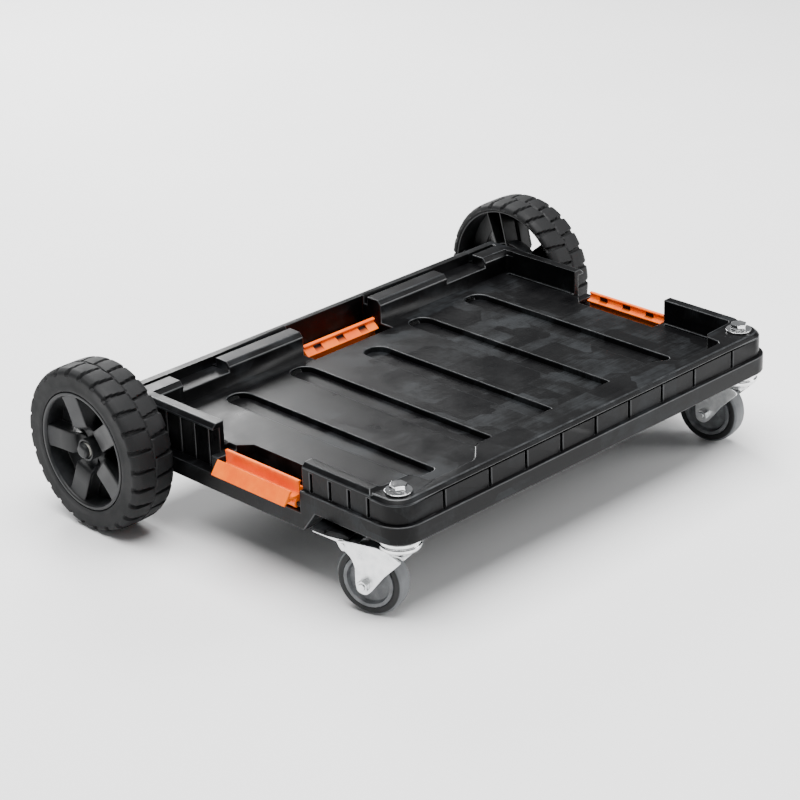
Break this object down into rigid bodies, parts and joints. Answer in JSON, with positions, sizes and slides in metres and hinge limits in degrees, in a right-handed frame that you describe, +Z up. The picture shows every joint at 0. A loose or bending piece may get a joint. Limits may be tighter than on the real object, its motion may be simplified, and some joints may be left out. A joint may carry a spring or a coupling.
{
  "type": "platform cart",
  "caption": "Rolling base for stackable tool boxes: moulded tray with clip latches, large rear wheels on a through axle and braked swivel castors in front.",
  "frame": {"origin": "on the floor, under the middle of the whole cart's box", "axes": "+X along the long side and the rear axle, towards the right wheel; +Y from the front castors to the rear wheels; +Z up"},
  "size_m": [0.756, 0.5394, 0.196],
  "materials": {
    "black_polypropylene": "moulded, fine satin texture",
    "orange_polypropylene": "moulded, satin",
    "tyre_rubber": "moulded tread",
    "castor_rubber": "grey thermoplastic rubber",
    "rim_polypropylene": "moulded, satin",
    "hub_polypropylene": "moulded, grey",
    "zinc_steel": "bright zinc plate",
    "chrome_steel": "polished",
    "nylon": "natural nylon"
  },
  "bodies": {
    "platform": {"platform": "black_polypropylene", "latch_pin_left": "zinc_steel", "latch_pin_right": "zinc_steel", "latch_pin_rear": "zinc_steel", "rear_axle": "zinc_steel", "rear_washer_left": "zinc_steel", "axle_cap_left": "zinc_steel", "castor_bolt_left": "zinc_steel", "castor_washer_left": "zinc_steel", "castor_nut_left": "zinc_steel", "castor_race_fixed_left": "chrome_steel", "rear_washer_right": "zinc_steel", "axle_cap_right": "zinc_steel", "castor_bolt_right": "zinc_steel", "castor_washer_right": "zinc_steel", "castor_nut_right": "zinc_steel", "castor_race_fixed_right": "chrome_steel"},
    "latch_left": {"latch_left": "orange_polypropylene"},
    "latch_right": {"latch_right": "orange_polypropylene"},
    "latch_rear": {"latch_rear": "orange_polypropylene"},
    "rear_wheel_left": {"rear_tyre_left": "tyre_rubber", "rear_rim_left": "rim_polypropylene", "rear_bush_left": "nylon"},
    "castor_swivel_left": {"castor_fork_left": "zinc_steel", "castor_race_swivel_left": "chrome_steel", "castor_axle_bolt_left": "zinc_steel", "castor_axle_nut_left": "zinc_steel", "brake_pin_left": "zinc_steel"},
    "castor_wheel_left": {"castor_tyre_left": "castor_rubber", "castor_hub_left": "hub_polypropylene", "castor_bush_left": "nylon"},
    "brake_left": {"brake_lever_left": "zinc_steel", "brake_pedal_left": "black_polypropylene"},
    "rear_wheel_right": {"rear_tyre_right": "tyre_rubber", "rear_rim_right": "rim_polypropylene", "rear_bush_right": "nylon"},
    "castor_swivel_right": {"castor_fork_right": "zinc_steel", "castor_race_swivel_right": "chrome_steel", "castor_axle_bolt_right": "zinc_steel", "castor_axle_nut_right": "zinc_steel", "brake_pin_right": "zinc_steel"},
    "castor_wheel_right": {"castor_tyre_right": "castor_rubber", "castor_hub_right": "hub_polypropylene", "castor_bush_right": "nylon"},
    "brake_right": {"brake_lever_right": "zinc_steel", "brake_pedal_right": "black_polypropylene"}
  },
  "joints": [
    {"name": "latch_left_hinge", "type": "hinge", "parent": "platform", "child": "latch_left", "pos_m": [-0.306, -0.0513, 0.1005], "axis": [0, -1, 0], "range_deg": [0, 20]},
    {"name": "latch_right_hinge", "type": "hinge", "parent": "platform", "child": "latch_right", "pos_m": [0.306, -0.0513, 0.1005], "axis": [0, 1, 0], "range_deg": [0, 20]},
    {"name": "latch_rear_hinge", "type": "hinge", "parent": "platform", "child": "latch_rear", "pos_m": [0, 0.1503, 0.105], "axis": [-1, 0, 0], "range_deg": [0, 18]},
    {"name": "rear_wheel_left_spin", "type": "hinge", "parent": "platform", "child": "rear_wheel_left", "pos_m": [-0.349, 0.1717, 0.098], "axis": [1, 0, 0], "continuous": true},
    {"name": "rear_wheel_right_spin", "type": "hinge", "parent": "platform", "child": "rear_wheel_right", "pos_m": [0.349, 0.1717, 0.098], "axis": [1, 0, 0], "continuous": true},
    {"name": "castor_left_swivel", "type": "hinge", "parent": "platform", "child": "castor_swivel_left", "pos_m": [-0.2814, -0.2402, 0.0915], "axis": [0, 0, 1], "continuous": true},
    {"name": "castor_left_spin", "type": "hinge", "parent": "castor_swivel_left", "child": "castor_wheel_left", "pos_m": [-0.29077, -0.20752, 0.04], "axis": [0.9613, 0.2756, 0], "continuous": true},
    {"name": "brake_left_press", "type": "hinge", "parent": "castor_swivel_left", "child": "brake_left", "pos_m": [-0.29775, -0.18317, 0.08062], "axis": [-0.9613, -0.2756, 0], "range_deg": [0, 10]},
    {"name": "castor_right_swivel", "type": "hinge", "parent": "platform", "child": "castor_swivel_right", "pos_m": [0.2814, -0.2402, 0.0915], "axis": [0, 0, 1], "continuous": true},
    {"name": "castor_right_spin", "type": "hinge", "parent": "castor_swivel_right", "child": "castor_wheel_right", "pos_m": [0.27608, -0.20662, 0.04], "axis": [0.9877, 0.1564, 0], "continuous": true},
    {"name": "brake_right_press", "type": "hinge", "parent": "castor_swivel_right", "child": "brake_right", "pos_m": [0.27212, -0.18161, 0.08062], "axis": [-0.9877, -0.1564, 0], "range_deg": [0, 10]}
  ]
}
